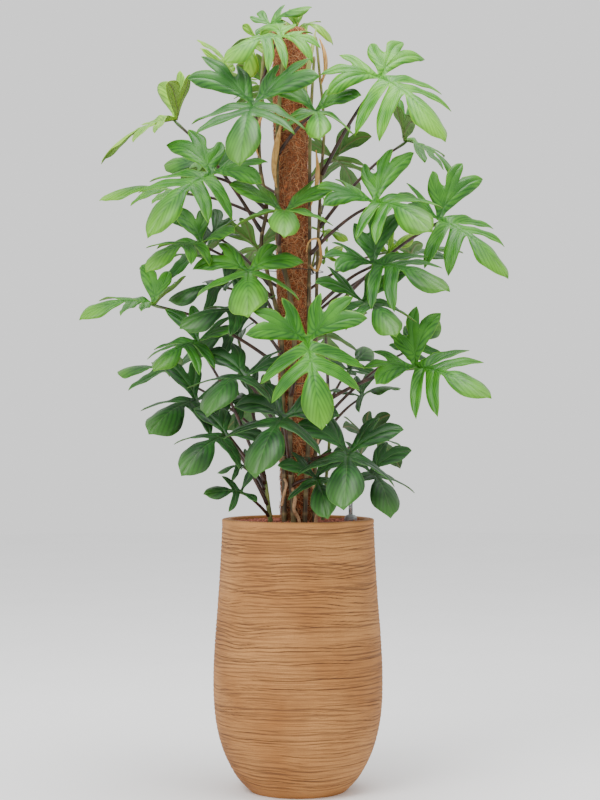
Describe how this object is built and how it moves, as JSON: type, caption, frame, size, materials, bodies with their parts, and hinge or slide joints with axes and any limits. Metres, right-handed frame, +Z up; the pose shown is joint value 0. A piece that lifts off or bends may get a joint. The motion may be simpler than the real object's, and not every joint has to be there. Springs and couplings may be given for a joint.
{
  "type": "potted philodendron pedatum",
  "caption": "Climbing aroid house plant with deeply lobed leaves on a coir pole, in a tall rounded clay floor planter with clay granules and a water level gauge.",
  "frame": {"origin": "middle of the planter's round flat foot, on the surface that it stands on", "axes": "+Z up along the pole; the front, which the fullest leaves face, looks along -Y; +X is to the viewer's right"},
  "size_m": [0.9392, 0.7183, 1.7669],
  "materials": {
    "fired_clay": "matte",
    "growing_mix": "matte",
    "clay_granules": "matte",
    "coir_fibre": "matte",
    "timber": "matte",
    "woody_stem": "satin",
    "green_shoot": "satin",
    "leaf_blade": "satin",
    "clear_tube": "gloss",
    "grey_plastic": "satin",
    "signal_plastic": "gloss",
    "coated_wire": "satin"
  },
  "bodies": {
    "root": {"planter": "fired_clay", "planting_medium": "growing_mix", "granule_layer": "clay_granules", "coir_sleeve": "coir_fibre", "pole_stake": "timber", "climber_left": "woody_stem", "climber_front": "woody_stem", "climber_right": "woody_stem", "climber_outer": "woody_stem", "climber_back": "green_shoot", "low_shoot_back": "green_shoot", "low_shoot_left": "green_shoot", "side_shoot": "green_shoot", "gauge_tube": "clear_tube", "gauge_collar": "grey_plastic", "gauge_float": "signal_plastic", "tie_top": "coated_wire", "tie_middle": "coated_wire", "tie_low": "coated_wire", "leaf_01": "leaf_blade", "leaf_02": "leaf_blade", "leaf_03": "leaf_blade", "leaf_04": "leaf_blade", "leaf_05": "leaf_blade", "leaf_06": "leaf_blade", "leaf_07": "leaf_blade", "leaf_08": "leaf_blade", "leaf_09": "leaf_blade", "leaf_10": "leaf_blade", "leaf_11": "leaf_blade", "leaf_12": "leaf_blade", "leaf_13": "leaf_blade", "leaf_14": "leaf_blade", "leaf_15": "leaf_blade", "leaf_16": "leaf_blade", "leaf_17": "leaf_blade", "leaf_18": "leaf_blade", "leaf_19": "leaf_blade", "leaf_20": "leaf_blade", "leaf_21": "leaf_blade", "leaf_22": "leaf_blade", "leaf_23": "leaf_blade", "leaf_24": "leaf_blade", "leaf_25": "leaf_blade", "leaf_26": "leaf_blade", "leaf_27": "leaf_blade", "leaf_28": "leaf_blade", "leaf_29": "leaf_blade", "leaf_30": "leaf_blade", "leaf_31": "leaf_blade", "leaf_32": "leaf_blade", "leaf_33": "leaf_blade", "leaf_34": "leaf_blade", "leaf_35": "leaf_blade", "leaf_36": "leaf_blade", "leaf_37": "leaf_blade", "leaf_38": "leaf_blade", "leaf_39": "leaf_blade", "leaf_40": "leaf_blade"}
  },
  "joints": []
}
